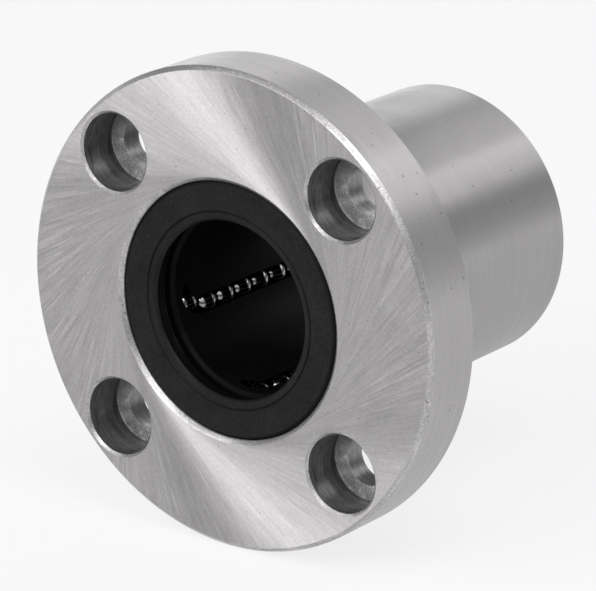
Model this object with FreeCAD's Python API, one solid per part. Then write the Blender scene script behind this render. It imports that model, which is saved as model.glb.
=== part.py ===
import FreeCAD, Part

import math
import os

# Flanged linear ball bearing, in millimetres.
# The shaft axis is Y. The counterbored flange face looks towards -Y and the barrel
# points towards +Y. The origin is on the shaft axis, in the flange's mounting face.
# Steel balls run round five racetrack circuits: they carry the shaft in the loaded
# lane, turn at one end, come back in the return lane and turn again.

Vec = FreeCAD.Vector
ORIGIN = Vec(0, 0, 0)
AXIS = Vec(0, 1, 0)

# Outer sleeve: main sizes
SHAFT_DIAMETER = 20.0
BARREL_DIAMETER = 32.0
BEARING_LENGTH = 42.0
FLANGE_DIAMETER = 54.0
FLANGE_THICKNESS = 8.0
FLANGE_EDGE = 0.5
BARREL_EDGE = 0.5
MOUTH_EDGE = 0.45
ROOT_GROOVE_DEPTH = 0.25
ROOT_GROOVE_WIDTH = 0.8

# Flange screws: the counterbores take socket heads from the front
BOLT_CIRCLE_DIAMETER = 43.0
BOLT_COUNT = 4
BOLT_FIRST_ANGLE = 45.0
BOLT_HOLE_DIAMETER = 5.5
BOLT_HOLE_EDGE = 0.3
COUNTERBORE_DIAMETER = 8.8
COUNTERBORE_DEPTH = 5.1
COUNTERBORE_EDGE = 0.15

# Balls and their circuits
CIRCUIT_COUNT = 5
BALL_DIAMETER = 3.175
BALL_GAP = 0.025
TURN_BALLS = 2
RACE_CLEARANCE = 0.02
TRACK_CLEARANCE = 0.09
RELIEF_CLEARANCE = 0.07
LAND_HALF_WIDTH = 1.7
LAND_RAMP = 0.9
LAND_SIDE_CLEARANCE = 0.1
LAND_TOP_CLEARANCE = 0.06

# Ball retainer
CAGE_BORE_CLEARANCE = 0.25
CAGE_END_WALL = 0.5
CAGE_BORE_EDGE = 0.4

# End parts: seal, steel stiffener inside the seal, and retaining ring
SEAL_THICKNESS = 2.5
SEAL_RECESS = 0.3
SEAL_SEAT_STEP = 0.35
SEAL_BEVEL_WIDTH = 0.5
SEAL_BEVEL_DEPTH = 0.35
SEAL_GROOVE_WIDTH = 0.3
SEAL_GROOVE_DEPTH = 0.3
LIP_WIDTH = 0.9
LIP_CONE_DEPTH = 0.2
LIP_LAND = 0.5
LIP_ROUND = 0.3
LIP_UNDERCUT = 0.6
CORE_THICKNESS = 0.8
CORE_RIM = 0.9
CORE_WIDTH = 1.9
RING_THICKNESS = 0.9
RING_GROOVE_DEPTH = 0.4
RING_WIDTH = 1.5
RING_SPLIT = 3.0
RING_EDGE = 0.1

# Radii and places that follow from the sizes above
SHAFT_R = SHAFT_DIAMETER / 2
BARREL_R = BARREL_DIAMETER / 2
FLANGE_R = FLANGE_DIAMETER / 2
BALL_R = BALL_DIAMETER / 2

BALL_PITCH = BALL_DIAMETER + BALL_GAP
TURN_R = BALL_PITCH / (2 * math.sin(math.pi / (2 * TURN_BALLS)))
LANE_GAP = 2 * TURN_R
LANE_R = SHAFT_R + BALL_R
TRACK_R = BALL_R + TRACK_CLEARANCE
RACE_R = LANE_R + BALL_R + RACE_CLEARANCE
RELIEF_R = math.hypot(LANE_R, LANE_GAP) + BALL_R + RELIEF_CLEARANCE
SEAT_R = RELIEF_R + SEAL_SEAT_STEP
RING_GROOVE_R = SEAT_R + RING_GROOVE_DEPTH
CAGE_BORE_R = SHAFT_R + CAGE_BORE_CLEARANCE

FRONT_Y = -FLANGE_THICKNESS
END_Y = BEARING_LENGTH - FLANGE_THICKNESS
MIDDLE_Y = (FRONT_Y + END_Y) / 2
SEAL_FACE = BEARING_LENGTH / 2 - SEAL_RECESS
SEAL_BACK = SEAL_FACE - SEAL_THICKNESS
CAGE_END = SEAL_BACK - RING_THICKNESS

LANE_ROOM = 2 * (CAGE_END - CAGE_END_WALL - TURN_R - TRACK_R)
LANE_BALLS = math.floor(LANE_ROOM / BALL_PITCH)
LANE_LENGTH = LANE_BALLS * BALL_PITCH


def revolved(outline, angle=360.0):
    """Solid of revolution about the shaft axis from an outline of (radius, y) points."""
    points = [Vec(radius, y, 0) for radius, y in outline]
    face = Part.Face(Part.makePolygon(points + points[:1]))
    return face.revolve(ORIGIN, AXIS, angle)


def turned(shape, angle):
    """Copy of a shape turned about the shaft axis, in degrees."""
    copy = shape.copy()
    copy.rotate(ORIGIN, AXIS, angle)
    return copy


def placed_at_ends(build_end):
    """Front and rear copies of an end part, drawn with y as its distance from the middle."""
    rear = build_end()
    rear.translate(Vec(0, MIDDLE_Y, 0))
    front = rear.mirror(Vec(0, MIDDLE_Y, 0), AXIS)
    return front, rear


def circuit_angle(index):
    """Turn about the shaft axis that brings a circuit from straight up to its place."""
    return 180.0 - index * 360.0 / CIRCUIT_COUNT


def sleeve_blank():
    """Flange, barrel, bore steps and ring grooves, turned in one piece."""
    rear_ring = MIDDLE_Y + CAGE_END
    rear_seat = MIDDLE_Y + SEAL_BACK
    front_ring = MIDDLE_Y - CAGE_END
    front_seat = MIDDLE_Y - SEAL_BACK
    root_r = BARREL_R + ROOT_GROOVE_WIDTH
    return revolved([
        (SEAT_R + MOUTH_EDGE, FRONT_Y),
        (FLANGE_R - FLANGE_EDGE, FRONT_Y),
        (FLANGE_R, FRONT_Y + FLANGE_EDGE),
        (FLANGE_R, -FLANGE_EDGE),
        (FLANGE_R - FLANGE_EDGE, 0),
        (root_r, 0),
        (root_r - ROOT_GROOVE_DEPTH, -ROOT_GROOVE_DEPTH),
        (BARREL_R, -ROOT_GROOVE_DEPTH),
        (BARREL_R, END_Y - BARREL_EDGE),
        (BARREL_R - BARREL_EDGE, END_Y),
        (SEAT_R + MOUTH_EDGE, END_Y),
        (SEAT_R, END_Y - MOUTH_EDGE),
        (SEAT_R, rear_seat),
        (RING_GROOVE_R, rear_seat),
        (RING_GROOVE_R, rear_ring),
        (RELIEF_R, rear_ring),
        (RELIEF_R, front_ring),
        (RING_GROOVE_R, front_ring),
        (RING_GROOVE_R, front_seat),
        (SEAT_R, front_seat),
        (SEAT_R, FRONT_Y + MOUTH_EDGE),
    ])


def race_land():
    """Raised race on the bore wall, above one loaded lane, with ramps for the entering balls."""
    half_angle = math.degrees(math.asin(LAND_HALF_WIDTH / RACE_R))
    land_end = LANE_LENGTH / 2
    ramp_end = land_end + LAND_RAMP
    root_r = (RELIEF_R + BARREL_R) / 2
    land = revolved([
        (RACE_R, MIDDLE_Y - land_end),
        (RELIEF_R, MIDDLE_Y - ramp_end),
        (root_r, MIDDLE_Y - ramp_end),
        (root_r, MIDDLE_Y + ramp_end),
        (RELIEF_R, MIDDLE_Y + ramp_end),
        (RACE_R, MIDDLE_Y + land_end),
    ], 2 * half_angle)
    # The outline starts on +X, and -90 degrees about the axis brings +X to +Z.
    return turned(land, -90.0 - half_angle)


def screw_hole():
    """Cutter for one flange screw: counterbore, clearance hole and broken edges, along +Y."""
    hole_r = BOLT_HOLE_DIAMETER / 2
    bore_r = COUNTERBORE_DIAMETER / 2
    floor_y = FRONT_Y + COUNTERBORE_DEPTH
    cutter = revolved([
        (0, FRONT_Y),
        (bore_r + COUNTERBORE_EDGE, FRONT_Y),
        (bore_r, FRONT_Y + COUNTERBORE_EDGE),
        (bore_r, floor_y),
        (hole_r, floor_y),
        (hole_r, -BOLT_HOLE_EDGE),
        (hole_r + BOLT_HOLE_EDGE, 0),
        (0, 0),
    ])
    cutter.translate(Vec(BOLT_CIRCLE_DIAMETER / 2, 0, 0))
    return cutter


def outer_sleeve():
    lands = [turned(race_land(), circuit_angle(index)) for index in range(CIRCUIT_COUNT)]
    sleeve = sleeve_blank().fuse(lands).removeSplitter()
    step = 360.0 / BOLT_COUNT
    holes = [turned(screw_hole(), BOLT_FIRST_ANGLE + index * step) for index in range(BOLT_COUNT)]
    return sleeve.cut(holes)


def track_section():
    """Section of a ball track at the loaded lane, above +Z: round floor, straight walls."""
    top = RELIEF_R + TRACK_R
    left_floor = Vec(-TRACK_R, 0, LANE_R)
    right_floor = Vec(TRACK_R, 0, LANE_R)
    floor = Part.Arc(left_floor, Vec(0, 0, LANE_R - TRACK_R), right_floor).toShape()
    walls = Part.makePolygon([right_floor, Vec(TRACK_R, 0, top), Vec(-TRACK_R, 0, top), left_floor])
    return Part.Face(Part.Wire([floor] + walls.Edges))


def ball_track():
    """Cutter for one circuit: loaded lane, return lane and the two half-round turns."""
    section = track_section()
    section.translate(Vec(0, MIDDLE_Y - LANE_LENGTH / 2, 0))
    run = Vec(0, LANE_LENGTH, 0)
    radial = Vec(0, 0, 1)
    front_centre = Vec(TURN_R, MIDDLE_Y - LANE_LENGTH / 2, 0)
    rear_centre = front_centre + run
    loaded_lane = section.extrude(run)
    front_turn = section.revolve(front_centre, radial, 180.0)
    return_section = section.translated(Vec(LANE_GAP, 0, 0))
    return_lane = return_section.extrude(run)
    rear_turn = section.translated(run).revolve(rear_centre, radial, -180.0)
    return loaded_lane.fuse([front_turn, return_lane, rear_turn]).removeSplitter()


def land_channel():
    """Cutter that lets the cage slide in past one race land, over its whole length."""
    channel_r = RACE_R - LAND_TOP_CLEARANCE
    half_width = LAND_HALF_WIDTH + LAND_SIDE_CLEARANCE
    half_angle = math.degrees(math.asin(half_width / RACE_R))
    channel = revolved([
        (channel_r, MIDDLE_Y - CAGE_END),
        (BARREL_R, MIDDLE_Y - CAGE_END),
        (BARREL_R, MIDDLE_Y + CAGE_END),
        (channel_r, MIDDLE_Y + CAGE_END),
    ], 2 * half_angle)
    return turned(channel, -90.0 - half_angle)


def ball_retainer():
    """Moulded cage: five racetrack tracks, open to the shaft along their loaded lanes."""
    cage = revolved([
        (CAGE_BORE_R + CAGE_BORE_EDGE, MIDDLE_Y - CAGE_END),
        (RELIEF_R, MIDDLE_Y - CAGE_END),
        (RELIEF_R, MIDDLE_Y + CAGE_END),
        (CAGE_BORE_R + CAGE_BORE_EDGE, MIDDLE_Y + CAGE_END),
        (CAGE_BORE_R, MIDDLE_Y + CAGE_END - CAGE_BORE_EDGE),
        (CAGE_BORE_R, MIDDLE_Y - CAGE_END + CAGE_BORE_EDGE),
    ])
    cutters = []
    for index in range(CIRCUIT_COUNT):
        cutters.append(turned(ball_track(), circuit_angle(index)))
        cutters.append(turned(land_channel(), circuit_angle(index)))
    return cage.cut(cutters)


def end_seal():
    """Moulded seal: bevelled rim, flat face, groove, wiping lip, and a seat for its core."""
    groove_in = SHAFT_R + LIP_WIDTH
    groove_middle = groove_in + SEAL_GROOVE_WIDTH / 2
    groove_out = groove_in + SEAL_GROOVE_WIDTH
    cone_foot = SHAFT_R + LIP_ROUND
    lip_face = SEAL_FACE - LIP_CONE_DEPTH
    lip_start = lip_face - LIP_ROUND
    lip_end = lip_start - LIP_LAND
    core_out = SEAT_R - CORE_RIM
    core_in = core_out - CORE_WIDTH
    return revolved([
        (SEAT_R, SEAL_BACK),
        (SEAT_R, SEAL_FACE - SEAL_BEVEL_DEPTH),
        (SEAT_R - SEAL_BEVEL_WIDTH, SEAL_FACE),
        (groove_out, SEAL_FACE),
        (groove_middle, SEAL_FACE - SEAL_GROOVE_DEPTH),
        (groove_in, SEAL_FACE - LIP_CONE_DEPTH / 4),
        (cone_foot, lip_face),
        (SHAFT_R, lip_start),
        (SHAFT_R, lip_end),
        (SHAFT_R + LIP_UNDERCUT, lip_end - LIP_UNDERCUT),
        (SHAFT_R + LIP_UNDERCUT, SEAL_BACK),
        (core_in, SEAL_BACK),
        (core_in, SEAL_BACK + CORE_THICKNESS),
        (core_out, SEAL_BACK + CORE_THICKNESS),
        (core_out, SEAL_BACK),
    ])


def seal_core():
    """Flat steel washer that stiffens the seal from behind."""
    core_out = SEAT_R - CORE_RIM
    core_in = core_out - CORE_WIDTH
    return revolved([
        (core_in, SEAL_BACK),
        (core_out, SEAL_BACK),
        (core_out, SEAL_BACK + CORE_THICKNESS),
        (core_in, SEAL_BACK + CORE_THICKNESS),
    ])


def retaining_ring():
    """Split spring ring in its sleeve groove, between the cage and the seal."""
    inner_r = RING_GROOVE_R - RING_WIDTH
    split_angle = math.degrees(RING_SPLIT / RING_GROOVE_R)
    ring = revolved([
        (inner_r, CAGE_END + RING_EDGE),
        (inner_r + RING_EDGE, CAGE_END),
        (RING_GROOVE_R, CAGE_END),
        (RING_GROOVE_R, SEAL_BACK),
        (inner_r + RING_EDGE, SEAL_BACK),
        (inner_r, SEAL_BACK - RING_EDGE),
    ], 360.0 - split_angle)
    return turned(ring, -90.0 + split_angle / 2)


def ball(across, along, height):
    """One ball in the upright circuit: across from the loaded lane, along the shaft, up."""
    return Part.makeSphere(BALL_R, Vec(across, MIDDLE_Y + along, height))


def lane_row(across):
    """Balls of one straight lane, spread evenly about the middle of the bearing."""
    first = -(LANE_BALLS - 1) / 2 * BALL_PITCH
    return [ball(across, first + index * BALL_PITCH, LANE_R) for index in range(LANE_BALLS)]


def turn_row(side):
    """Balls halfway round one turn; side is -1 at the front end and +1 at the rear end."""
    row = []
    for index in range(TURN_BALLS):
        angle = math.pi * (index + 0.5) / TURN_BALLS
        across = TURN_R - TURN_R * math.cos(angle)
        along = side * (LANE_LENGTH / 2 + TURN_R * math.sin(angle))
        row.append(ball(across, along, LANE_R))
    return row


def circuit_balls(index):
    """The four ball groups of one circuit, by name, at the circuit's place."""
    groups = {
        "loaded": lane_row(0.0),
        "return": lane_row(LANE_GAP),
        "front_turn": turn_row(-1),
        "rear_turn": turn_row(1),
    }
    named = {}
    for group, balls in groups.items():
        name = f"balls_{index + 1}_{group}"
        named[name] = turned(Part.makeCompound(balls), circuit_angle(index))
    return named


def build():
    front_seal, rear_seal = placed_at_ends(end_seal)
    front_core, rear_core = placed_at_ends(seal_core)
    front_ring, rear_ring = placed_at_ends(retaining_ring)
    parts = {
        "outer_sleeve": outer_sleeve(),
        "ball_retainer": ball_retainer(),
        "front_seal": front_seal,
        "rear_seal": rear_seal,
        "front_seal_core": front_core,
        "rear_seal_core": rear_core,
        "front_retaining_ring": front_ring,
        "rear_retaining_ring": rear_ring,
    }
    for index in range(CIRCUIT_COUNT):
        parts.update(circuit_balls(index))
    return parts


def main():
    os.makedirs("parts", exist_ok=True)
    for name, shape in build().items():
        if not shape.isValid():
            raise RuntimeError(f"{name} is not a valid solid")
        shape.exportStep(f"parts/{name}.step")
        print(f"{name}: {len(shape.Solids)} solid(s), {shape.Volume:.2f} mm3")


main()
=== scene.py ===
"""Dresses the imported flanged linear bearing: turned steel, moulded seals, balls and a studio."""

import math

import bpy
from bpy.props import FloatProperty, FloatVectorProperty, IntProperty, PointerProperty
from bpy.types import Operator, Panel, PropertyGroup
from mathutils import Matrix, Vector


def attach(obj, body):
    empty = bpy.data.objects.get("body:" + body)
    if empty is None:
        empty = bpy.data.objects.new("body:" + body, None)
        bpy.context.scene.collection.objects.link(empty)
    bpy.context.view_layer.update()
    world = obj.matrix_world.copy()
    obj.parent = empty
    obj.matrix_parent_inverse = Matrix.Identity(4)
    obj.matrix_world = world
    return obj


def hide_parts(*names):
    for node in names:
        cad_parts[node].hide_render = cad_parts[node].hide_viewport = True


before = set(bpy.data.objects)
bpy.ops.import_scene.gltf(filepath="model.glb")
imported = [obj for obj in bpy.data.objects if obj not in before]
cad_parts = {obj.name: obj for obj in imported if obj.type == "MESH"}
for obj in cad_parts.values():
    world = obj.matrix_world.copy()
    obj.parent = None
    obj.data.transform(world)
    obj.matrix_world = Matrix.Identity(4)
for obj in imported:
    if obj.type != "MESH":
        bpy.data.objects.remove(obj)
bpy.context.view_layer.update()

bl_info = {
    "name": "Flanged linear bearing",
    "version": (1, 0, 0),
    "blender": (4, 5, 0),
    "location": "View3D > Sidebar > Bearing",
    "description": "Builds the pieces, finishes and studio of a flanged linear ball bearing",
    "category": "Object",
}

FIXED_BODY = "bearing_body"
CIRCUITS = 5
ENDS = {"front": -1, "rear": 1}
MM = 0.001
FULL_TURN = 2 * math.pi


# Sizes and colours

def length(name, description, millimetres):
    return FloatProperty(name=name, description=description, default=millimetres * MM,
                         unit="LENGTH", precision=5)


def colour(name, description, value):
    return FloatVectorProperty(name=name, description=description, default=value,
                               subtype="COLOR", size=3, min=0.0, max=1.0)


def share(name, description, value):
    return FloatProperty(name=name, description=description, default=value,
                         subtype="FACTOR", min=0.0, max=1.0)


def count(name, description, number, most=100):
    return IntProperty(name=name, description=description, default=number, min=1, max=most)


class SleeveSizes(PropertyGroup):
    """Sizes of the steel sleeve with its flange."""
    barrel_diameter: length("Barrel diameter", "Ground barrel that sits in the housing", 32.0)
    flange_diameter: length("Flange diameter", "Outside of the round flange", 54.0)
    flange_thickness: length("Flange thickness", "Front face to mounting face", 8.0)
    bearing_length: length("Bearing length", "Front face to the barrel's end", 42.0)
    flange_edge: length("Flange edge", "Chamfer on both flange corners", 0.5)
    barrel_edge: length("Barrel edge", "Chamfer on the barrel's end", 0.5)
    mouth_edge: length("Mouth edge", "Chamfer where the seals go in", 0.45)
    root_groove_depth: length("Root groove depth", "Undercut beside the barrel", 0.25)
    root_groove_width: length("Root groove width", "Undercut beside the barrel", 0.8)
    screw_circle: length("Screw circle", "Diameter of the circle through the screw holes", 43.0)
    screw_hole: length("Screw hole", "Clearance hole diameter", 5.5)
    screw_hole_edge: length("Screw hole edge", "Broken edge at the mounting face", 0.3)
    counterbore: length("Counterbore", "Diameter for the screw heads", 8.8)
    counterbore_depth: length("Counterbore depth", "Depth from the front face", 5.1)
    counterbore_edge: length("Counterbore edge", "Broken edge at the front face", 0.28)
    seat_radius: length("Seal seat radius", "Bore that holds the seals", 14.4471)
    relief_radius: length("Relief radius", "Bore over the returning balls", 14.0971)
    ring_groove_radius: length("Ring groove radius", "Grooves of the retaining rings", 14.8471)
    race_radius: length("Race radius", "Raised races over the loaded balls", 13.195)
    race_width: length("Race width", "Width of one raised race", 3.4)
    race_length: length("Race length", "Level length of one raised race", 25.6)
    race_ramp: length("Race ramp", "Ramp at both ends of a race", 0.9)
    edge_round: length("Edge round", "Small rounding left on every turned corner", 0.04)
    screw_count: count("Screw holes", "Number of screw holes", 4)


class SealSizes(PropertyGroup):
    """Sizes of the seals, their steel cores and the retaining rings."""
    recess: length("Recess", "Seal face below the sleeve's face", 0.3)
    thickness: length("Thickness", "Seal face to seal back", 2.5)
    bevel_width: length("Bevel width", "Bevelled rim, across", 0.5)
    bevel_depth: length("Bevel depth", "Bevelled rim, along the shaft", 0.35)
    groove_width: length("Groove width", "Ring groove beside the lip", 0.3)
    groove_depth: length("Groove depth", "Ring groove beside the lip", 0.3)
    lip_width: length("Lip width", "Band between the groove and the shaft", 0.9)
    lip_cone: length("Lip cone", "Fall of the lip band towards the shaft", 0.2)
    lip_land: length("Lip land", "Length of the lip on the shaft", 0.5)
    lip_round: length("Lip round", "Lead-in of the lip", 0.3)
    lip_undercut: length("Lip undercut", "Relief behind the lip", 0.6)
    shaft_radius: length("Shaft radius", "Radius that the lip wipes", 10.0)
    core_thickness: length("Core thickness", "Steel washer in the seal's back", 0.8)
    core_rim: length("Core rim", "Rubber outside the washer", 0.9)
    core_width: length("Core width", "Width of the washer", 1.9)
    ring_thickness: length("Ring thickness", "Retaining ring, along the shaft", 0.9)
    ring_width: length("Ring width", "Retaining ring, across", 1.5)
    ring_split: length("Ring split", "Gap of the split retaining ring", 3.0)
    edge_round: length("Edge round", "Rounding left by the mould", 0.07)
    core_round: length("Core round", "Rounding of the washer's edges", 0.05)
    ring_round: length("Ring round", "Rounding of the retaining ring's edges", 0.1)


class BallSizes(PropertyGroup):
    """Sizes of the balls and their circuits."""
    diameter: length("Ball diameter", "Diameter of every ball", 3.175)
    pitch: length("Ball pitch", "Distance between ball centres", 3.2)
    lane_radius: length("Lane radius", "Height of ball centres above the shaft axis", 11.5875)
    turn_radius: length("Turn radius", "Radius of the half-round turns", 2.262742)
    lane_balls: count("Balls in a lane", "Balls in each straight lane", 8)
    turn_balls: count("Balls in a turn", "Balls in each half-round turn", 2)
    seen_facets: count("Facets of seen balls", "Subdivisions of the balls at the bore", 4, 5)
    hidden_facets: count("Facets of hidden balls", "Subdivisions of the other balls", 3, 5)


class FinishColours(PropertyGroup):
    """Colours and strengths of the finishes."""
    face_steel: colour("Face steel", "Flange face", (0.568, 0.553, 0.558))
    rim_steel: colour("Rim steel", "Flange rim and back", (0.462, 0.4495, 0.4535))
    ground_steel: colour("Ground steel", "Barrel and bore", (0.42, 0.409, 0.4125))
    edge_steel: colour("Edge steel", "Turned chamfers", (0.47, 0.4575, 0.4615))
    bored_steel: colour("Bored steel", "Screw holes", (0.26, 0.253, 0.2555))
    # Darker than the other steels: painted shade on the counterbore walls.
    counterbore_steel: colour("Counterbore steel", "Counterbore walls", (0.16, 0.1557, 0.157))
    # Brighter than the other steels: painted light on the seats.
    seat_steel: colour("Seat steel", "Seats of the screw heads", (0.85, 0.827, 0.835))
    plate_steel: colour("Plate steel", "Retaining rings and seal cores", (0.33, 0.33, 0.34))
    # Darker than polished steel: painted shade on the balls inside the bore.
    ball_steel: colour("Ball steel", "Polished balls", (0.28, 0.28, 0.285))
    seal_rubber: colour("Seal rubber", "Moulded seals", (0.0075, 0.0074, 0.0077))
    # Black resin, painted blacker still as painted shade inside the bore.
    cage_resin: colour("Cage resin", "Ball retainer", (0.0034, 0.0034, 0.0035))
    scratch_circle: length("Scratch circle", "Circle that the grinding scratches touch", 14.9)
    face_grain: share("Face grain", "Tone of the grinding scratches on the flange", 0.11)
    barrel_grain: share("Barrel grain", "Tone of the grinding lines on the barrel", 0.03)


class StageSettings(PropertyGroup):
    """Camera, floor and lamps."""
    focal_length: FloatProperty(name="Focal length", description="Camera lens",
                                default=232.8606, unit="CAMERA")
    floor_colour: colour("Floor colour", "Pale floor", (0.93, 0.93, 0.93))
    floor_radius: length("Floor radius", "Size of the round floor", 12000.0)
    lamp_distance: length("Lamp distance", "From the object to every soft box", 900.0)
    room_level: share("Room level", "Plain light from all round", 0.25)


# Node trees

class Net:
    """Adds nodes to one tree and joins them."""

    def __init__(self, tree):
        self.tree = tree

    def feed(self, socket, value):
        if isinstance(value, bpy.types.NodeSocket):
            self.tree.links.new(value, socket)
        else:
            socket.default_value = value

    def add(self, kind, inputs=None, **options):
        node = self.tree.nodes.new(kind)
        for name, value in options.items():
            setattr(node, name, value)
        self.join(node, inputs or {})
        return node

    def join(self, node, inputs):
        for key, value in inputs.items():
            self.feed(node.inputs[key], value)

    def shape(self, kind, geometry=None, inputs=None, **options):
        """First output of a geometry node; geometry goes to its first input."""
        first = {} if geometry is None else {0: geometry}
        return self.add("GeometryNode" + kind, first | (inputs or {}), **options).outputs[0]

    def paint(self, geometry, material, selection=True):
        return self.shape("SetMaterial", geometry, {"Selection": selection, "Material": material})

    def group(self, build, inputs):
        """Outputs of the node group that a function builds."""
        kind = self.tree.bl_idname.replace("Tree", "Group")
        return self.add(kind, inputs, node_tree=node_group(build)).outputs

    def give(self, *values):
        """Joins values to the group's outputs and returns the finished tree."""
        for socket, value in zip(self.add("NodeGroupOutput").inputs, values):
            self.feed(socket, value)
        return self.tree

    def math(self, operation, *values):
        inputs = dict(enumerate(values))
        return self.add("ShaderNodeMath", inputs, operation=operation).outputs[0]

    def plus(self, first, second):
        return self.math("ADD", first, second)

    def minus(self, first, second):
        return self.math("SUBTRACT", first, second)

    def times(self, first, second):
        return self.math("MULTIPLY", first, second)

    def vector(self, operation, *values):
        node = self.add("ShaderNodeVectorMath", dict(enumerate(values)), operation=operation)
        return node.outputs["Value" if operation == "LENGTH" else "Vector"]

    def scale(self, vector, factor):
        inputs = {0: vector, "Scale": factor}
        return self.add("ShaderNodeVectorMath", inputs, operation="SCALE").outputs["Vector"]

    def combine(self, x, y, z):
        return self.add("ShaderNodeCombineXYZ", {0: x, 1: y, 2: z}).outputs[0]

    def split(self, vector):
        return self.add("ShaderNodeSeparateXYZ", {0: vector}).outputs

    def between(self, value, low, high, new_low=0.0, new_high=1.0, smooth=False):
        """Value moved from the range low to high to the new one, and held inside it."""
        inputs = {0: value, 1: low, 2: high, 3: new_low, 4: new_high}
        kind = "SMOOTHSTEP" if smooth else "LINEAR"
        return self.add("ShaderNodeMapRange", inputs, interpolation_type=kind).outputs[0]

    def blend(self, factor, first, second):
        """Colour between first and second."""
        inputs = {0: factor, 6: opaque(first), 7: opaque(second)}
        return self.add("ShaderNodeMix", inputs, data_type="RGBA").outputs[2]

    def noise(self, vector, scale=1.0, detail=2.0, roughness=0.5):
        inputs = {"Vector": vector, "Scale": scale, "Detail": detail, "Roughness": roughness}
        return self.add("ShaderNodeTexNoise", inputs).outputs[0]


def opaque(value):
    """A colour triple with full alpha; a socket stays as it is."""
    return value if isinstance(value, bpy.types.NodeSocket) else (*value, 1.0)


def scaled(value, factor):
    return tuple(min(1.0, channel * factor) for channel in value)


def node_group(build):
    """Node group that a function builds, made once and named after the function."""
    name = build.__name__.replace("_", " ").capitalize()
    return bpy.data.node_groups.get(name) or build(name)


def new_group(name, kind, inputs, outputs):
    """Empty node group, as its net and the sockets of its input node.

    An input is given as its default value, or as the name of a socket type that needs none.
    A geometry tree gives geometry, and a shader tree gives numbers.
    """
    types = {bool: "Bool", int: "Int", float: "Float"}
    tree = bpy.data.node_groups.new(name, kind)
    for label, value in inputs.items():
        socket_type = "NodeSocket" + types.get(type(value), str(value))
        socket = tree.interface.new_socket(label, in_out="INPUT", socket_type=socket_type)
        if type(value) in types:
            socket.default_value = value
    result_type = "NodeSocketGeometry" if kind == "GeometryNodeTree" else "NodeSocketFloat"
    for label in outputs:
        tree.interface.new_socket(label, in_out="OUTPUT", socket_type=result_type)
    net = Net(tree)
    return net, net.add("NodeGroupInput").outputs


# Making and handing over pieces

def settings(group):
    return getattr(bpy.context.scene, "bearing_" + group)


def add_object(data):
    """New object in the scene, named after its mesh, lamp or camera."""
    added = bpy.data.objects.new(data.name, data)
    bpy.context.scene.collection.objects.link(added)
    return added


def outline_object(name, points):
    """Closed outline of (radius, y) points, as an object with edges only."""
    mesh = bpy.data.meshes.new(name)
    corners = [(radius, y, 0.0) for radius, y in points]
    edges = [(index, (index + 1) % len(corners)) for index in range(len(corners))]
    mesh.from_pydata(corners, edges, [])
    return add_object(mesh)


def nodes_modifier(target, build, values):
    """Geometry Nodes modifier with its inputs set by their sockets' identifiers."""
    tree = node_group(build)
    modifier = target.modifiers.new(tree.name, "NODES")
    modifier.node_group = tree
    for item in tree.interface.items_tree:
        if item.item_type == "SOCKET" and item.in_out == "INPUT" and item.name in values:
            modifier[item.identifier] = values[item.name]


def weigh_normals(target):
    """Large faces keep their own direction beside small rounded edges."""
    modifier = target.modifiers.new("Weighted normals", "WEIGHTED_NORMAL")
    modifier.mode = "FACE_AREA"
    modifier.weight = 100
    modifier.keep_sharp = True


def make_plain(target):
    """The evaluated shape as a plain mesh on the same object, with no modifier left."""
    graph = bpy.context.evaluated_depsgraph_get()
    mesh = bpy.data.meshes.new_from_object(target.evaluated_get(graph), depsgraph=graph)
    if not mesh.polygons:
        raise RuntimeError(f"{target.name} came out empty")
    target.modifiers.clear()
    old = target.data
    target.data = mesh
    mesh.name = target.name
    bpy.data.meshes.remove(old)


def face_outwards(piece):
    """Turns a closed mesh right side out where its outline ran the other way."""
    mesh = piece.data
    volume = 0.0
    for face in mesh.polygons:
        first = mesh.vertices[face.vertices[0]].co
        for second, third in zip(face.vertices[1:], face.vertices[2:]):
            volume += first.dot(mesh.vertices[second].co.cross(mesh.vertices[third].co))
    if volume < 0:
        mesh.flip_normals()


def turned_piece(name, points, build, values):
    """Object turned from its outline by the node group that a function builds."""
    piece = outline_object(name, points)
    nodes_modifier(piece, build, values)
    weigh_normals(piece)
    make_plain(piece)
    face_outwards(piece)
    return piece


def hand_over(piece, body, node):
    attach(piece, body)
    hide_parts(node)


# Geometry Nodes: turned pieces

PATH_RADIUS = 10 * MM
ROUND_STEPS = 3
RING_CREASE, SLEEVE_CREASE, RACE_CREASE = 40, 32, 12  # degrees
LEAST_SLOPE, MOST_SLOPE = 0.35, 0.95  # of a chamfer's normal along the axis
TURNING = {
    "Outline": "Geometry", "Full Turn": True, "Start": 0.0, "Sweep": FULL_TURN,
    "Segments": 144, "Edge Round": 0.0, "Material": "Material",
}
SLEEVE_STEELS = ("Ground", "Rim", "Face", "Edge", "Bored", "Counterbore", "Seat", "Race")


def turned_outline(name):
    """Turns a closed outline about the Y axis, in full or through an arc with closed ends."""
    net, given = new_group(name, "GeometryNodeTree", TURNING, ["Mesh"])
    curve = net.shape("MeshToCurve", given["Outline"])
    rounded = net.shape("FilletCurve", curve, {
        "Count": ROUND_STEPS, "Radius": given["Edge Round"], "Limit Radius": True}, mode="POLY")
    profile = net.shape("Transform", rounded, {"Translation": (-PATH_RADIUS, 0.0, 0.0)})
    path_size = {"Resolution": given["Segments"], "Radius": PATH_RADIUS}
    circle = net.shape("CurvePrimitiveCircle", inputs=path_size)
    arc = net.shape("CurveArc", inputs={
        **path_size, "Start Angle": given["Start"], "Sweep Angle": given["Sweep"]})
    path = net.shape("Switch", given["Full Turn"], {"False": arc, "True": circle})
    upright = net.shape("SetCurveNormal", path, mode="Z_UP")
    capped = net.add("FunctionNodeBooleanMath", {0: given["Full Turn"]}, operation="NOT")
    turned = net.shape("CurveToMesh", upright, {
        "Profile Curve": profile, "Fill Caps": capped.outputs[0]})
    merged = net.shape("MergeByDistance", turned, {"Distance": 0.001 * MM})
    on_axis = net.shape("Transform", merged, {"Rotation": (math.pi / 2, 0.0, 0.0)})
    return net.give(net.paint(net.shape("SetShadeSmooth", on_axis), given["Material"]))


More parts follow.
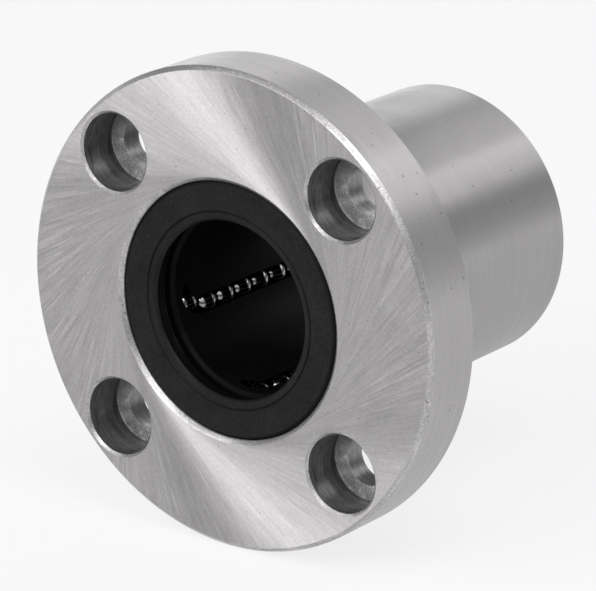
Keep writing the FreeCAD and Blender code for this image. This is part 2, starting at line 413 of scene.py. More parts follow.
def sharpen(net, geometry, degrees):
    """Keeps edges sharper than the angle from being shaded smooth."""
    sharp = net.math("GREATER_THAN", net.shape("InputMeshEdgeAngle"), math.radians(degrees))
    return net.shape("SetShadeSmooth", geometry, {"Selection": sharp, "Shade Smooth": False},
                     domain="EDGE")


def turned_ring(name):
    """One turned ring from its own outline."""
    net, given = new_group(name, "GeometryNodeTree", TURNING, ["Mesh"])
    turned = net.group(turned_outline, {label: given[label] for label in TURNING})[0]
    real = net.shape("RealizeInstances", sharpen(net, turned, RING_CREASE))
    return net.give(net.paint(real, given["Material"]))


def turned_sleeve(name):
    """Turned sleeve with a ring of counterbored screw holes and raised races in its bore."""
    net, given = new_group(name, "GeometryNodeTree", {
        "Outline": "Geometry", "Hole Outline": "Object", "Race Outline": "Object",
        "Segments": 240, "Edge Round": 0.0, "Barrel Radius": 0.0, "Front": 0.0,
        "Screw Circle Radius": 0.0, "Screw Hole Radius": 0.0, "Screw Holes": 4,
        "First Hole": math.pi / 4, "Races": CIRCUITS, "Race Angle": 0.0,
        "First Race": -math.pi / 2, **dict.fromkeys(SLEEVE_STEELS, "Material")}, ["Mesh"])
    place = net.shape("InputPosition")
    from_axis = net.vector("LENGTH", net.vector("MULTIPLY", place, (1.0, 0.0, 1.0)))
    slope = net.math("ABSOLUTE", net.split(net.shape("InputNormal"))[1])
    steep = net.math("GREATER_THAN", slope, LEAST_SLOPE)
    sloping = net.times(steep, net.math("LESS_THAN", slope, MOST_SLOPE))
    index = net.shape("InputIndex")

    def finish(geometry, selection, material):
        return net.paint(geometry, given[material], selection)

    def outside(radius, margin):
        """Whether a face is farther from the axis than a radius and a margin."""
        return net.math("GREATER_THAN", from_axis, net.plus(given[radius], margin))

    def near_front(depth):
        return net.math("LESS_THAN", net.split(place)[1], net.plus(given["Front"], depth))

    def outline_of(label):
        return net.add("GeometryNodeObjectInfo", {"Object": given[label]}).outputs["Geometry"]

    def spread(number, first):
        """Angle of each of a number of copies round the axis."""
        step = net.math("DIVIDE", FULL_TURN, given[number])
        return net.math("MULTIPLY_ADD", index, step, given[first])

    blank = net.group(turned_outline, {
        "Outline": given["Outline"], "Segments": given["Segments"],
        "Edge Round": given["Edge Round"], "Material": given["Ground"]})[0]
    rimmed = finish(blank, outside("Barrel Radius", 0.1 * MM), "Rim")
    edged = finish(rimmed, sloping, "Edge")
    faced = finish(edged, near_front(0.002 * MM), "Face")

    bored = net.group(turned_outline, {
        "Outline": outline_of("Hole Outline"), "Segments": 72,
        "Material": given["Bored"]})[0]
    walled = finish(bored, outside("Screw Hole Radius", 0.5 * MM), "Counterbore")
    seated = finish(walled, steep, "Seat")
    cutter = finish(seated, net.times(sloping, near_front(0.6 * MM)), "Edge")
    angle = spread("Screw Holes", "First Hole")
    way = net.combine(net.math("COSINE", angle), 0.0, net.math("SINE", angle))
    centres = net.shape("Points", inputs={
        "Count": given["Screw Holes"],
        "Position": net.scale(way, given["Screw Circle Radius"])})
    cutters = net.shape("InstanceOnPoints", centres, {"Instance": cutter})
    drilled = net.shape("MeshBoolean", faced, {
        "Mesh 2": net.shape("RealizeInstances", cutters)},
        operation="DIFFERENCE", solver="EXACT")
    cleaned = net.shape("MergeByDistance", drilled, {"Distance": 0.0005 * MM})

    race = net.group(turned_outline, {
        "Outline": outline_of("Race Outline"), "Full Turn": False, "Segments": 10,
        "Start": net.times(given["Race Angle"], -0.5), "Sweep": given["Race Angle"],
        "Material": given["Race"]})[0]
    race_turn = net.times(spread("Races", "First Race"), -1.0)
    races = net.shape("InstanceOnPoints", net.shape("Points", given["Races"]), {
        "Instance": race, "Rotation": net.combine(0.0, race_turn, 0.0)})
    real_races = net.shape("RealizeInstances", races)
    raced = finish(sharpen(net, real_races, RACE_CREASE), True, "Race")

    joined = net.add("GeometryNodeJoinGeometry")
    for part in (sharpen(net, cleaned, SLEEVE_CREASE), raced):
        net.feed(joined.inputs[0], part)
    real = net.shape("RealizeInstances", joined.outputs[0])
    bare = net.math("LESS_THAN", net.shape("InputMaterialIndex"), 0)
    return net.give(finish(real, bare, "Ground"))


# Geometry Nodes: ball rows

def ball_row(name):
    """Balls along one lane or one half-round turn of a circuit, turned to its place."""
    measures = ("Ball Radius", "Pitch", "Lane Offset", "Lane Height", "Turn Radius",
                "Turn Centre", "Middle", "End Side", "Circuit Angle")
    net, given = new_group(name, "GeometryNodeTree", {
        "Base": "Geometry", "Balls": 8, "Facets": 3, "Material": "Material",
        **dict.fromkeys(measures, 0.0)}, ["Mesh"])
    index = net.shape("InputIndex")
    from_middle = net.minus(index, net.times(net.minus(given["Balls"], 1), 0.5))
    lane_y = net.math("MULTIPLY_ADD", from_middle, given["Pitch"], given["Middle"])
    lane = net.combine(given["Lane Offset"], lane_y, given["Lane Height"])

    angle = net.times(net.math("DIVIDE", net.plus(index, 0.5), given["Balls"]), math.pi)
    across = net.times(net.math("COSINE", angle), given["Turn Radius"])
    out = net.times(net.math("SINE", angle), given["Turn Radius"])
    turn_y = net.math("MULTIPLY_ADD", net.plus(out, given["Turn Centre"]),
                      given["End Side"], given["Middle"])
    turn = net.combine(net.minus(given["Turn Radius"], across), turn_y, given["Lane Height"])

    in_turn = net.add("FunctionNodeCompare", {
        0: net.math("ABSOLUTE", given["End Side"]), 1: 0.5}).outputs[0]
    place = net.shape("Switch", inputs={0: in_turn, 1: lane, 2: turn}, input_type="VECTOR")
    points = net.shape("Points", inputs={"Count": given["Balls"], "Position": place})
    ball = net.shape("MeshIcoSphere", inputs={
        "Radius": given["Ball Radius"], "Subdivisions": given["Facets"]})
    steel = net.shape("ReplaceMaterial", ball, {"New": given["Material"]})
    smooth = net.shape("SetShadeSmooth", steel)
    row = net.shape("InstanceOnPoints", points, {"Instance": smooth})
    turned = net.shape("Transform", row, {
        "Rotation": net.combine(0.0, given["Circuit Angle"], 0.0)})
    real = net.shape("RealizeInstances", turned)
    return net.give(net.paint(real, given["Material"]))


# Shader groups

def tool_marks(name):
    """Fine lines that run where Round and Line hold still: tone, height and scratches."""
    net, given = new_group(name, "ShaderNodeTree", {
        "Round": "Vector", "Round Scale": 100.0, "Line": 0.0, "Line Scale": 0.1,
        "Broad Share": 0.4}, ["Tone", "Height", "Scratch"])

    def layer(factor, shift, detail):
        """Noise whose lines are this factor as close, taken from a place of its own."""
        round_part = net.scale(given["Round"], net.times(given["Round Scale"], factor))
        line = net.times(given["Line"], net.times(given["Line Scale"], math.sqrt(factor)))
        line_part = net.combine(0.0, net.plus(line, shift), 0.0)
        return net.noise(net.vector("ADD", round_part, line_part), 1.0, detail, 0.62)

    fine = layer(1.0, 0.0, 2.0)
    middle = layer(0.42, 17.0, 1.0)
    broad = layer(0.13, 41.0, 1.0)
    deep = layer(0.55, 83.0, 0.0)
    small = net.math("MULTIPLY_ADD", middle, 0.6, net.times(fine, 0.4))
    tone = net.plus(net.times(small, net.minus(1.0, given["Broad Share"])),
                    net.times(broad, given["Broad Share"]))
    scratch = net.between(deep, 0.73, 0.80, smooth=True)
    height = net.minus(small, net.times(scratch, 0.35))
    return net.give(net.between(tone, 0.33, 0.67), height, scratch)


def handling_marks(name):
    """Sparse pits, specks and soft stains left by handling."""
    net, given = new_group(name, "ShaderNodeTree", {
        "Place": "Vector", "Spot Scale": 0.5, "Spot Size": 0.12, "Spot Share": 0.25,
        "Stain Scale": 0.12}, ["Spots", "Stain"])
    cells = net.add("ShaderNodeTexVoronoi", {
        "Vector": given["Place"], "Scale": given["Spot Scale"]}).outputs
    ragged = net.times(net.noise(given["Place"], 2.5), given["Spot Size"])
    inside = net.math("LESS_THAN", cells["Distance"], ragged)
    chosen = net.math("LESS_THAN", net.split(cells["Color"])[0], given["Spot Share"])
    stain = net.noise(net.scale(given["Place"], given["Stain Scale"]), 1.0, 4.0, 0.6)
    return net.give(net.times(inside, chosen), net.between(stain, 0.3, 0.7))


# Materials

def new_material(name):
    """Material with a bare Principled shader; returns it with its net and shader."""
    material = bpy.data.materials.new(name)
    material.use_nodes = True
    return material, Net(material.node_tree), material.node_tree.nodes["Principled BSDF"]


def axis_place(net, centre=None):
    """Place in millimetres, radius, outward and round-about ways, and height on the axis."""
    seen = net.add("ShaderNodeTexCoord").outputs["Object"]
    place = net.scale(seen, 1 / MM)
    flat = net.vector("MULTIPLY", place, (1.0, 0.0, 1.0))
    if centre is not None:
        flat = net.vector("SUBTRACT", flat, centre(net, flat))
    radius = net.vector("LENGTH", flat)
    outward = net.vector("NORMALIZE", flat)
    around = net.vector("CROSS_PRODUCT", outward, (0.0, 1.0, 0.0))
    return place, radius, outward, around, net.split(place)[1]


def hole_centre(net, flat):
    """Centre of the nearest screw hole, in millimetres."""
    offset = settings("sleeve").screw_circle / 2 / math.sqrt(2) / MM
    return net.scale(net.vector("SIGN", flat), offset)


def bump(net, shader, height, millimetres):
    node = net.add("ShaderNodeBump", {
        "Height": height, "Distance": millimetres * MM, "Strength": 1.0})
    net.join(shader, {"Normal": node.outputs[0]})


def finish_steel(net, shader, base, place, marks, grain, roughness, spots=(0.45, 0.10, 0.3),
                 scratches=0.5, mottle=0.14, glint=0.0):
    """Joins tool marks and handling marks to a metal shader; returns its bump's height.

    spots are the scale, size and share of the pits; the others after it are strengths.
    """
    scale, size, amount = spots
    handling = net.group(handling_marks, {
        "Place": place, "Spot Scale": scale, "Spot Size": size, "Spot Share": amount})
    patches = net.between(net.noise(place, 3.2, 3.0, 0.65), 0.3, 0.7)
    # Painted glint: random spots painted brighter than the steel around them.
    facets = net.between(net.noise(place, 5.5, 1.0, 0.7), 0.56, 0.66)
    tone = net.blend(marks["Tone"], scaled(base, 1 - grain), scaled(base, 1 + grain))
    for mask, strength, brightness in (
            (patches, mottle, 0.5),
            (facets, glint, 1.7),
            (handling["Stain"], 0.10, 0.7),
            (marks["Scratch"], scratches, 1.5),
            (handling["Spots"], 0.5, 0.25)):
        tone = net.blend(net.times(mask, strength), tone, scaled(base, brightness))
    rough = net.plus(
        net.between(marks["Tone"], 0.0, 1.0, roughness + 0.05, roughness - 0.05),
        net.times(handling["Stain"], 0.04))
    net.join(shader, {"Base Color": tone, "Roughness": rough, "Metallic": 1.0})
    return net.minus(marks["Height"], net.times(handling["Spots"], 0.8))


def turned_steel(name, base, anisotropy, line_scale, round_scale=2.2, centre=None,
                 relief=0.0012, chatter=False, **finish):
    """Steel with fine lines round an axis, as turning or grinding leaves.

    Chatter marks cross the lines, and painted shade darkens the upper part of the same face.
    """
    material, net, shader = new_material(name)
    place, radius, outward, around, along = axis_place(net, centre)
    marks = net.group(tool_marks, {
        "Round": outward, "Round Scale": round_scale,
        "Line": net.math("MULTIPLY_ADD", radius, 0.37, along), "Line Scale": line_scale})
    height = finish_steel(net, shader, base, place, marks, **finish)
    if chatter:
        # Painted shade: the top of the seat is painted darker, where the counterbore's wall shades
        # it.
        height_in_hole = net.times(net.split(outward)[2], radius)
        oil = net.between(height_in_hole, -1.0, 2.5, 0.0, 0.75, smooth=True)
        clean = shader.inputs["Base Color"].links[0].from_socket
        net.join(shader, {"Base Color": net.blend(oil, clean, scaled(base, 0.25))})
    bump(net, shader, height, relief)
    facing = net.add("ShaderNodeNewGeometry").outputs["Normal"]
    spread = around if chatter else net.vector("CROSS_PRODUCT", facing, around)
    net.join(shader, {"Tangent": spread, "Anisotropic": anisotropy})
    return material


def ground_face_steel(name, base, scratch_circle, grain):
    """Flange face: straight grinding scratches, each one touching a circle round the bore."""
    material, net, shader = new_material(name)
    place, radius, outward, around, _ = axis_place(net)
    lean = net.math("MINIMUM", net.math("DIVIDE", scratch_circle / MM, radius), 1.0)
    upright = net.math("SQRT", net.minus(1.0, net.times(lean, lean)))
    scratch_way = net.vector("ADD", net.scale(outward, upright), net.scale(around, lean))
    across = net.vector("SUBTRACT", net.scale(around, upright), net.scale(outward, lean))
    run = net.times(radius, upright)
    marks = net.group(tool_marks, {
        "Round": scratch_way, "Round Scale": 150.0, "Line": run, "Line Scale": 0.24,
        "Broad Share": 0.15})
    height = finish_steel(net, shader, base, place, marks, grain, roughness=0.50,
                          spots=(0.75, 0.15, 0.4), scratches=0.35, mottle=0.26, glint=0.14)
    bump(net, shader, height, 0.002)
    bundle = net.vector("ADD", net.scale(scratch_way, 78.0),
                        net.combine(0.0, net.times(run, 0.33), 0.0))
    swing = net.between(net.noise(bundle, 1.0, 2.0, 0.62), 0.3, 0.7, -0.055, 0.055)
    leaning = net.vector("ADD", across, net.scale(scratch_way, swing))
    net.join(shader, {"Tangent": leaning, "Anisotropic": 0.97})
    return material


def moulded_black(name, base, roughness, gloss, grain_scale, line_scale, relief,
                  dry_depth=None, clean_radius=None):
    """Black rubber or resin: soft mould grain, faint turned lines and pale dust.

    Past the given depth towards the bearing's middle the rubber gets an oil coat and painted
    shade, and painted shade darkens it outside the given radius; both in millimetres.
    """
    material, net, shader = new_material(name)
    place, radius, outward, _, along = axis_place(net)
    handling = net.group(handling_marks, {
        "Place": place, "Spot Scale": 0.9, "Spot Size": 0.10, "Spot Share": 0.25,
        "Stain Scale": 0.25})
    marks = net.group(tool_marks, {
        "Round": outward, "Round Scale": 3.0, "Line": net.plus(radius, along),
        "Line Scale": line_scale})
    grain = net.noise(place, grain_scale, 3.0, 0.6)
    tone = net.blend(handling["Stain"], scaled(base, 0.7), scaled(base, 1.5))
    tone = net.blend(net.between(grain, 0.35, 0.6, 0.5, 0.0), tone, scaled(base, 0.3))
    tone = net.blend(net.between(grain, 0.52, 0.7, 0.0, 0.5), tone, scaled(base, 2.5))
    dust = net.times(handling["Spots"], 0.4)
    tone = net.blend(dust, tone, (0.16, 0.16, 0.16))
    if dry_depth is not None:
        # Painted shade: the rubber inside the bore is painted nearly black; the same mask gives it
        # an oil coat.
        depth = net.math("ABSOLUTE", net.minus(along, bearing_middle() / MM))
        oil = net.between(depth, dry_depth, dry_depth - 0.15, 0.0, 0.9)
        tone = net.blend(oil, tone, scaled(base, 0.05))
        net.join(shader, {"Coat Weight": net.times(oil, 0.25), "Coat Roughness": 0.2})
    if clean_radius is not None:
        # Painted shade: the bevel where the seal meets the sleeve is painted darker.
        dirt = net.between(radius, clean_radius, clean_radius + 0.2, 0.0, 0.85)
        tone = net.blend(dirt, tone, scaled(base, 0.1))
    rough = net.between(grain, 0.3, 0.7, roughness - 0.06, roughness + 0.08)
    net.join(shader, {"Base Color": tone, "Roughness": rough, "Specular IOR Level": gloss})
    bump(net, shader, net.math("MULTIPLY_ADD", marks["Height"], 0.4, grain), relief)
    return material


def polished_steel(name, base):
    """Ball steel: nearly a mirror, with faint handling marks."""
    material, net, shader = new_material(name)
    place = axis_place(net)[0]
    handling = net.group(handling_marks, {
        "Place": place, "Spot Scale": 1.4, "Spot Size": 0.08, "Spot Share": 0.2,
        "Stain Scale": 0.6})
    tone = net.blend(handling["Stain"], scaled(base, 0.9), scaled(base, 1.05))
    tone = net.blend(net.times(handling["Spots"], 0.5), tone, scaled(base, 0.4))
    rough = net.between(handling["Stain"], 0.0, 1.0, 0.06, 0.14)
    net.join(shader, {"Base Color": tone, "Roughness": rough, "Metallic": 1.0})
    bump(net, shader, net.noise(place, 6.0), 0.0003)
    return material


def material_of(name, build, colour_name, **options):
    """The named material, built once from one of the finish colours."""
    base = tuple(getattr(settings("finishes"), colour_name))
    return bpy.data.materials.get(name) or build(name, base, **options)


def sleeve_materials():
    tones = settings("finishes")
    ground = {"roughness": 0.40, "grain": tones.barrel_grain, "round_scale": 4.0}
    bored = {"anisotropy": 0.5, "line_scale": 4.0, "centre": hole_centre}
    edge_steel = material_of(
        "turned_edge_steel", turned_steel, "edge_steel", roughness=0.36, anisotropy=0.4,
        grain=0.25, line_scale=5.0, round_scale=14.0, spots=(1.3, 0.35, 0.5), mottle=0.5,
        glint=0.5)
    return {
        "Face": material_of(
            "ground_face_steel", ground_face_steel, "face_steel",
            scratch_circle=tones.scratch_circle, grain=tones.face_grain),
        "Rim": material_of(
            "turned_rim_steel", turned_steel, "rim_steel", anisotropy=0.85, line_scale=7.0,
            relief=0.0008, spots=(0.7, 0.2, 0.4), scratches=0.2, **ground),
        "Ground": material_of(
            "ground_barrel_steel", turned_steel, "ground_steel", anisotropy=0.9,
            line_scale=9.0, relief=0.0004, spots=(0.5, 0.16, 0.4), scratches=0.1, **ground),
        "Edge": edge_steel,
        "Race": edge_steel,
        "Bored": material_of(
            "bored_steel", turned_steel, "bored_steel", roughness=0.40, grain=0.35,
            round_scale=5.0, relief=0.004, **bored),
        "Counterbore": material_of(
            "counterbore_steel", turned_steel, "counterbore_steel", roughness=0.42,
            grain=0.50, round_scale=7.0, relief=0.012, **bored),
        "Seat": material_of(
            "milled_seat_steel", turned_steel, "seat_steel", roughness=0.60, anisotropy=0.8,
            grain=0.65, line_scale=2.6, round_scale=9.0, centre=hole_centre, relief=0.050,
            spots=(2.5, 0.5, 0.4), mottle=0.45, glint=0.8, chatter=True),
    }


# Outlines, as (radius, y) in metres

def bearing_middle():
    sizes = settings("sleeve")
    return sizes.bearing_length / 2 - sizes.flange_thickness


def at_end(side, points):
    """Moves points given from the bearing's middle to its front (-1) or rear (+1) side."""
    middle = bearing_middle()
    return [(radius, middle + side * distance) for radius, distance in points]


def seal_back(sizes, seals):
    return sizes.bearing_length / 2 - seals.recess - seals.thickness


def band(inner, outer, near, far):
    return [(inner, near), (outer, near), (outer, far), (inner, far)]


def sleeve_outline(sizes, seals):
    front = -sizes.flange_thickness
    half = sizes.bearing_length / 2
    end = half + bearing_middle()
    back = seal_back(sizes, seals)
    cage_end = back - seals.ring_thickness
    flange, flange_edge = sizes.flange_diameter / 2, sizes.flange_edge
    barrel, barrel_edge = sizes.barrel_diameter / 2, sizes.barrel_edge
    root, groove = barrel + sizes.root_groove_width, sizes.root_groove_depth
    seat, mouth = sizes.seat_radius, sizes.mouth_edge
    ring, relief = sizes.ring_groove_radius, sizes.relief_radius
    bore = [
        (seat + mouth, half), (seat, half - mouth), (seat, back),
        (ring, back), (ring, cage_end), (relief, cage_end),
    ]
    outside = [
        (flange - flange_edge, front), (flange, front + flange_edge),
        (flange, -flange_edge), (flange - flange_edge, 0.0),
        (root, 0.0), (root - groove, -groove), (barrel, -groove),
        (barrel, end - barrel_edge), (barrel - barrel_edge, end),
    ]
    front_bore = at_end(-1, bore[::-1])
    return front_bore[-1:] + outside + at_end(1, bore) + front_bore[:-1]


def screw_hole_outline(sizes):
    front = -sizes.flange_thickness
    floor = front + sizes.counterbore_depth
    hole, hole_edge = sizes.screw_hole / 2, sizes.screw_hole_edge
    wide, wide_edge = sizes.counterbore / 2, sizes.counterbore_edge
    margin = 0.5 * MM
    corner = 0.12 * MM
    lip = 0.06 * MM
    bend = 0.3  # how far a rounded corner's middle lies in from the sharp one
    return [
        (0.0, front - margin),
        (wide + wide_edge + margin, front - margin),
        (wide + wide_edge, front),
        (wide, front + wide_edge),
        (wide, floor - corner),
        (wide - corner * bend, floor - corner * bend),
        (wide - corner, floor),
        (hole + lip, floor),
        (hole + lip * bend, floor + lip * bend),
        (hole, floor + lip),
        (hole, -hole_edge),
        (hole + hole_edge, 0.0),
        (hole + hole_edge + margin, margin),
        (0.0, margin),
    ]


def race_outline(sizes):
    half = sizes.race_length / 2
    ramp = half + sizes.race_ramp
    race, relief = sizes.race_radius, sizes.relief_radius
    root = (relief + sizes.barrel_diameter / 2) / 2
    points = [(race, -half), (relief, -ramp), (root, -ramp), (root, ramp), (relief, ramp),
              (race, half)]
    return at_end(1, points)


def seal_outline(sizes, seals):
    face = sizes.bearing_length / 2 - seals.recess
    back = seal_back(sizes, seals)
    seat, shaft = sizes.seat_radius, seals.shaft_radius
    groove_in, groove_width = shaft + seals.lip_width, seals.groove_width
    lip_round, undercut = seals.lip_round, seals.lip_undercut
    lip_face = face - seals.lip_cone
    lip_start = lip_face - lip_round
    lip_end = lip_start - seals.lip_land
    core_out = seat - seals.core_rim
    core_in = core_out - seals.core_width
    core_top = back + seals.core_thickness
    return [
        (seat, back),
        (seat, face - seals.bevel_depth),
        (seat - seals.bevel_width, face),
        (groove_in + groove_width, face),
        (groove_in + groove_width / 2, face - seals.groove_depth),
        (groove_in, face - seals.lip_cone / 4),
        (shaft + lip_round, lip_face),
        (shaft, lip_start),
        (shaft, lip_end),
        (shaft + undercut, lip_end - undercut),
        (shaft + undercut, back),
        (core_in, back), (core_in, core_top), (core_out, core_top), (core_out, back),
    ]


def core_outline(sizes, seals):
    back = seal_back(sizes, seals)
    outer = sizes.seat_radius - seals.core_rim
    return band(outer - seals.core_width, outer, back, back + seals.core_thickness)


def ring_outline(sizes, seals):
    back = seal_back(sizes, seals)
    outer = sizes.ring_groove_radius
    return band(outer - seals.ring_width, outer, back - seals.ring_thickness, back)


# Operators

class BEARING_OT_sleeve(Operator):
    """Turn the steel sleeve with its flange, screw holes and raised races"""
    bl_idname = "bearing.sleeve"
    bl_label = "Sleeve and flange"

    def execute(self, context):
        sizes, seals = settings("sleeve"), settings("seals")
        hole = outline_object("hole_outline", screw_hole_outline(sizes))
        race = outline_object("race_outline", race_outline(sizes))
        piece = turned_piece("sleeve", sleeve_outline(sizes, seals), turned_sleeve, {
            "Hole Outline": hole,
            "Race Outline": race,
            "Edge Round": sizes.edge_round,
            "Screw Circle Radius": sizes.screw_circle / 2,
            "Screw Hole Radius": sizes.screw_hole / 2,
            "Screw Holes": sizes.screw_count,
            "Race Angle": 2 * math.asin(sizes.race_width / 2 / sizes.race_radius),
            "Front": -sizes.flange_thickness,
            "Barrel Radius": sizes.barrel_diameter / 2,
            **sleeve_materials(),
        })
        for helper in (hole, race):
            bpy.data.objects.remove(helper)
        hand_over(piece, FIXED_BODY, "outer_sleeve")
        return {"FINISHED"}


class BEARING_OT_seals(Operator):
    """Turn the two moulded seals with their bevel, groove and wiping lip"""
    bl_idname = "bearing.seals"
    bl_label = "End seals"

    def execute(self, context):
        sizes, seals = settings("sleeve"), settings("seals")
        lip_start = (sizes.bearing_length / 2 - seals.recess - seals.lip_cone
                     - seals.lip_round / 4)
        # The rubber is painted darker inside the bore and at its bevel, as painted shade.
        rubber = material_of(
            "moulded_seal_rubber", moulded_black, "seal_rubber", roughness=0.55, gloss=0.12,
            grain_scale=3.6, line_scale=3.0, relief=0.010, dry_depth=lip_start / MM,
            clean_radius=(sizes.seat_radius - seals.bevel_width) / MM)
        for end, side in ENDS.items():
            points = at_end(side, seal_outline(sizes, seals))
            piece = turned_piece(f"{end}_seal_ring", points, turned_ring, {
                "Edge Round": seals.edge_round, "Material": rubber})
            hand_over(piece, FIXED_BODY, f"{end}_seal")
        return {"FINISHED"}


class BEARING_OT_plates(Operator):
    """Turn the seal cores and the split retaining rings"""
    bl_idname = "bearing.plates"
    bl_label = "Seal cores and retaining rings"

    def execute(self, context):
        sizes, seals = settings("sleeve"), settings("seals")
        steel = material_of("stamped_plate_steel", turned_steel, "plate_steel",
                            roughness=0.42, anisotropy=0.3, grain=0.2, line_scale=5.0)
        split = seals.ring_split / sizes.ring_groove_radius
        core = {"Edge Round": seals.core_round}
        ring = {"Edge Round": seals.ring_round, "Full Turn": False,
                "Start": math.pi / 2 + split / 2, "Sweep": FULL_TURN - split}
        for end, side in ENDS.items():
            for name, node, outline, values in (
                    ("core_washer", "seal_core", core_outline, core),
                    ("snap_ring", "retaining_ring", ring_outline, ring)):
                piece = turned_piece(f"{end}_{name}", at_end(side, outline(sizes, seals)),
                                     turned_ring, {"Material": steel, **values})
                hand_over(piece, FIXED_BODY, f"{end}_{node}")
        return {"FINISHED"}


class BEARING_OT_cage(Operator):
    """Give the ball retainer its black moulded resin"""
    bl_idname = "bearing.cage"
    bl_label = "Ball retainer"

    def execute(self, context):
        resin = material_of("moulded_cage_resin", moulded_black, "cage_resin", roughness=0.38,
                            gloss=0.05, grain_scale=6.0, line_scale=1.5, relief=0.004)
        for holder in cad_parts["ball_retainer"].material_slots:
            holder.material = resin
        return {"FINISHED"}


class BEARING_OT_balls(Operator):
    """Lay the balls along the lanes and turns of the five circuits"""
    bl_idname = "bearing.balls"
    bl_label = "Ball rows"

    def execute(self, context):
        sizes = settings("balls")
        steel = material_of("polished_ball_steel", polished_steel, "ball_steel")
        seen, hidden = sizes.seen_facets, sizes.hidden_facets
        groups = {
            "loaded": (sizes.lane_balls, 0.0, 0.0, seen),
            "return": (sizes.lane_balls, 2 * sizes.turn_radius, 0.0, hidden),
            "front_turn": (sizes.turn_balls, 0.0, -1.0, hidden),
            "rear_turn": (sizes.turn_balls, 0.0, 1.0, hidden),
        }
        for circuit in range(CIRCUITS):
            for group, (number, offset, side, facets) in groups.items():
                node = f"balls_{circuit + 1}_{group}"
                piece = add_object(bpy.data.meshes.new(f"ball_row_{circuit + 1}_{group}"))
                nodes_modifier(piece, ball_row, {
                    "Balls": number,
                    "Ball Radius": sizes.diameter / 2,
                    "Facets": facets,
                    "Pitch": sizes.pitch,
                    "Lane Offset": offset,
                    "Lane Height": sizes.lane_radius,
                    "Turn Radius": sizes.turn_radius,
                    "Turn Centre": sizes.lane_balls * sizes.pitch / 2,
                    "Middle": bearing_middle(),
                    "End Side": side,
                    "Circuit Angle": math.pi - circuit * FULL_TURN / CIRCUITS,
                    "Material": steel,
                })
                make_plain(piece)
                hand_over(piece, node, node)
        return {"FINISHED"}


# Stage

# Where the camera stands, the way back from what it sees, and its roll, angles in degrees
CAMERA_PLACE = (0.242215, -0.315925, 0.131318)
CAMERA_AZIMUTH, CAMERA_ELEVATION, CAMERA_ROLL = 37.0532980, 18.2871938, -0.2847439
FLOOR_CORNERS = 96
FLOOR_GLOW = 0.85  # share of the floor that the camera and the metal see at its own colour

# Soft boxes as seen from the object, angles in degrees:
# name, azimuth, elevation, width, height, radiance, whether the height runs round the shaft
SOFT_BOXES = [
    ("front", 0, 33, 28, 28, 5.6),
    ("front_left", -36, 33, 28, 28, 3.6),
    ("front_right", 36, 33, 28, 28, 1.2),
    ("top_right", 60, 60, 28, 28, 5.2),
    ("left_low", -60, 6, 28, 28, 0.9),
    ("left", -102, 10, 44, 28, 0.5),
    ("right_low", 90, 6, 28, 28, 2.5),
    ("back_left_low", -143, 5, 28, 28, 3.0),
    ("back_left", -151, 30, 30, 19, 1.6, True),
    ("back_top", -177, 41, 30, 15, 1.0, True),
    ("back_right", 154, 31, 30, 20, 1.8, True),
    ("back_right_low", 144, 21, 30, 20, 0.5, True),
]


def direction(azimuth, elevation):
    """Unit vector to a place seen from the object; azimuth 0 is in front, 90 to the right."""
    turn, rise = math.radians(azimuth), math.radians(elevation)
    level = math.cos(rise)
    return Vector((math.sin(turn) * level, -math.cos(turn) * level, math.sin(rise)))


def stand(data, place, back, above=Vector((0.0, 0.0, 1.0)), roll=0.0):
    """Adds a lamp or camera that looks against the way back, with its top towards above."""
    side = above.cross(back).normalized()
    turn = Matrix.Rotation(math.radians(roll), 3, back)
    axes = Matrix((turn @ side, turn @ back.cross(side), back)).transposed()
    holder = add_object(data)
    holder.matrix_world = Matrix.Translation(place) @ axes.to_4x4()
    return holder


def soft_box(name, azimuth, elevation, width, height, radiance, round_shaft=False):
    """Area lamp that fills the given angles at the lamp distance and faces the object."""
    distance = settings("stage").lamp_distance
    lamp = bpy.data.lights.new(name, "AREA")
    lamp.shape = "RECTANGLE"
    lamp.size = 2 * distance * math.tan(math.radians(width / 2))
    lamp.size_y = 2 * distance * math.tan(math.radians(height / 2))
    lamp.energy = radiance * math.pi * lamp.size * lamp.size_y
    back = direction(azimuth, elevation)
    if round_shaft:
        stand(lamp, back * distance, back, back.cross(Vector((0.0, 1.0, 0.0))))
    else:
        stand(lamp, back * distance, back)


def floor_material(pale):
    """Pale floor that keeps its shadow."""
    material, net, shader = new_material("pale_floor")
    paper = net.noise(net.add("ShaderNodeTexCoord").outputs["Object"], 60.0, 3.0)
    tone = net.blend(paper, scaled(pale, 0.995), pale)
    net.join(shader, {"Base Color": tone, "Roughness": 0.9, "Specular IOR Level": 0.1})
    rays = net.add("ShaderNodeLightPath").outputs
    mirrored = net.math("MAXIMUM", rays["Is Glossy Ray"], rays["Is Transmission Ray"])
    seen = net.math("MAXIMUM", rays["Is Camera Ray"], mirrored)
    glow = net.add("ShaderNodeEmission", {"Color": tone, "Strength": 1.0}).outputs[0]
    mixed = net.add("ShaderNodeMixShader", {
        0: net.times(seen, FLOOR_GLOW), 1: shader.outputs[0], 2: glow}).outputs[0]
    net.feed(material.node_tree.nodes["Material Output"].inputs["Surface"], mixed)
    return material


def floor_object(radius, height, material):
    angles = [FULL_TURN * step / FLOOR_CORNERS for step in range(FLOOR_CORNERS)]
    rim = [(radius * math.cos(angle), radius * math.sin(angle), height) for angle in angles]
    mesh = bpy.data.meshes.new("floor")
    mesh.from_pydata(rim, [], [tuple(range(FLOOR_CORNERS))])
    mesh.materials.append(material)
    return add_object(mesh)


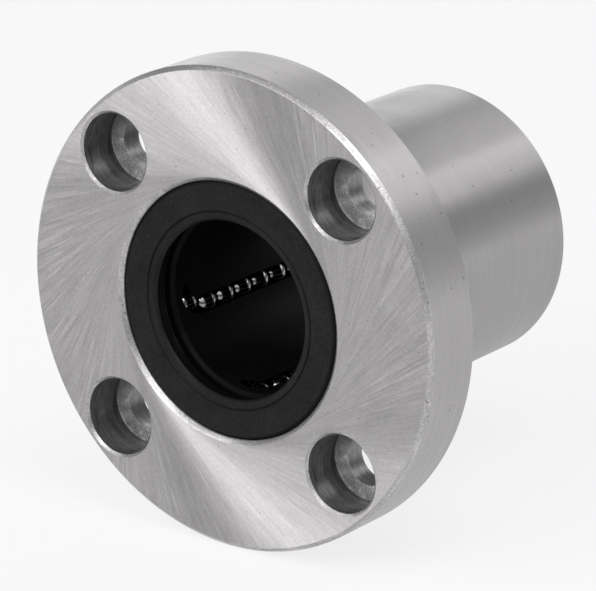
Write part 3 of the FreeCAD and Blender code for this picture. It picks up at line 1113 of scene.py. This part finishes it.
def camera_object(focal_length):
    lens = bpy.data.cameras.new("camera")
    lens.sensor_width = 36.0
    lens.lens = focal_length
    lens.clip_start = 0.01
    lens.clip_end = 50.0
    back = direction(CAMERA_AZIMUTH, CAMERA_ELEVATION)
    return stand(lens, CAMERA_PLACE, back, roll=CAMERA_ROLL)


class BEARING_OT_stage(Operator):
    """Set up the floor, the lamps and the camera"""
    bl_idname = "bearing.stage"
    bl_label = "Studio stage"

    def execute(self, context):
        scene, stage = context.scene, settings("stage")
        ground = -settings("sleeve").flange_diameter / 2
        floor = floor_object(stage.floor_radius, ground, floor_material(tuple(stage.floor_colour)))
        for box in SOFT_BOXES:
            soft_box(*box)
        world = bpy.data.worlds.new("plain_room")
        world.use_nodes = True
        backdrop = world.node_tree.nodes["Background"]
        backdrop.inputs["Color"].default_value = (1.0, 1.0, 1.0, 1.0)
        backdrop.inputs["Strength"].default_value = stage.room_level
        scene.world = world
        scene.camera = camera_object(stage.focal_length)
        scene.view_settings.view_transform = "Standard"
        return {"FINISHED"}


class BEARING_PT_panel(Panel):
    """Buttons that build the bearing's pieces and stage"""
    bl_label = "Flanged linear bearing"
    bl_space_type = "VIEW_3D"
    bl_region_type = "UI"
    bl_category = "Bearing"

    def draw(self, context):
        for operator in OPERATORS:
            self.layout.operator(operator.bl_idname)


OPERATORS = [
    BEARING_OT_sleeve,
    BEARING_OT_seals,
    BEARING_OT_plates,
    BEARING_OT_cage,
    BEARING_OT_balls,
    BEARING_OT_stage,
]
GROUPS = {
    "sleeve": SleeveSizes,
    "seals": SealSizes,
    "balls": BallSizes,
    "finishes": FinishColours,
    "stage": StageSettings,
}
CLASSES = [*GROUPS.values(), *OPERATORS, BEARING_PT_panel]


def register():
    for kind in CLASSES:
        bpy.utils.register_class(kind)
    for name, group in GROUPS.items():
        setattr(bpy.types.Scene, "bearing_" + name, PointerProperty(type=group))


def unregister():
    for name in GROUPS:
        delattr(bpy.types.Scene, "bearing_" + name)
    for kind in reversed(CLASSES):
        bpy.utils.unregister_class(kind)


def main():
    register()
    bpy.ops.bearing.sleeve()
    bpy.ops.bearing.seals()
    bpy.ops.bearing.plates()
    bpy.ops.bearing.cage()
    bpy.ops.bearing.balls()
    bpy.ops.bearing.stage()


if __name__ == "__main__":
    main()
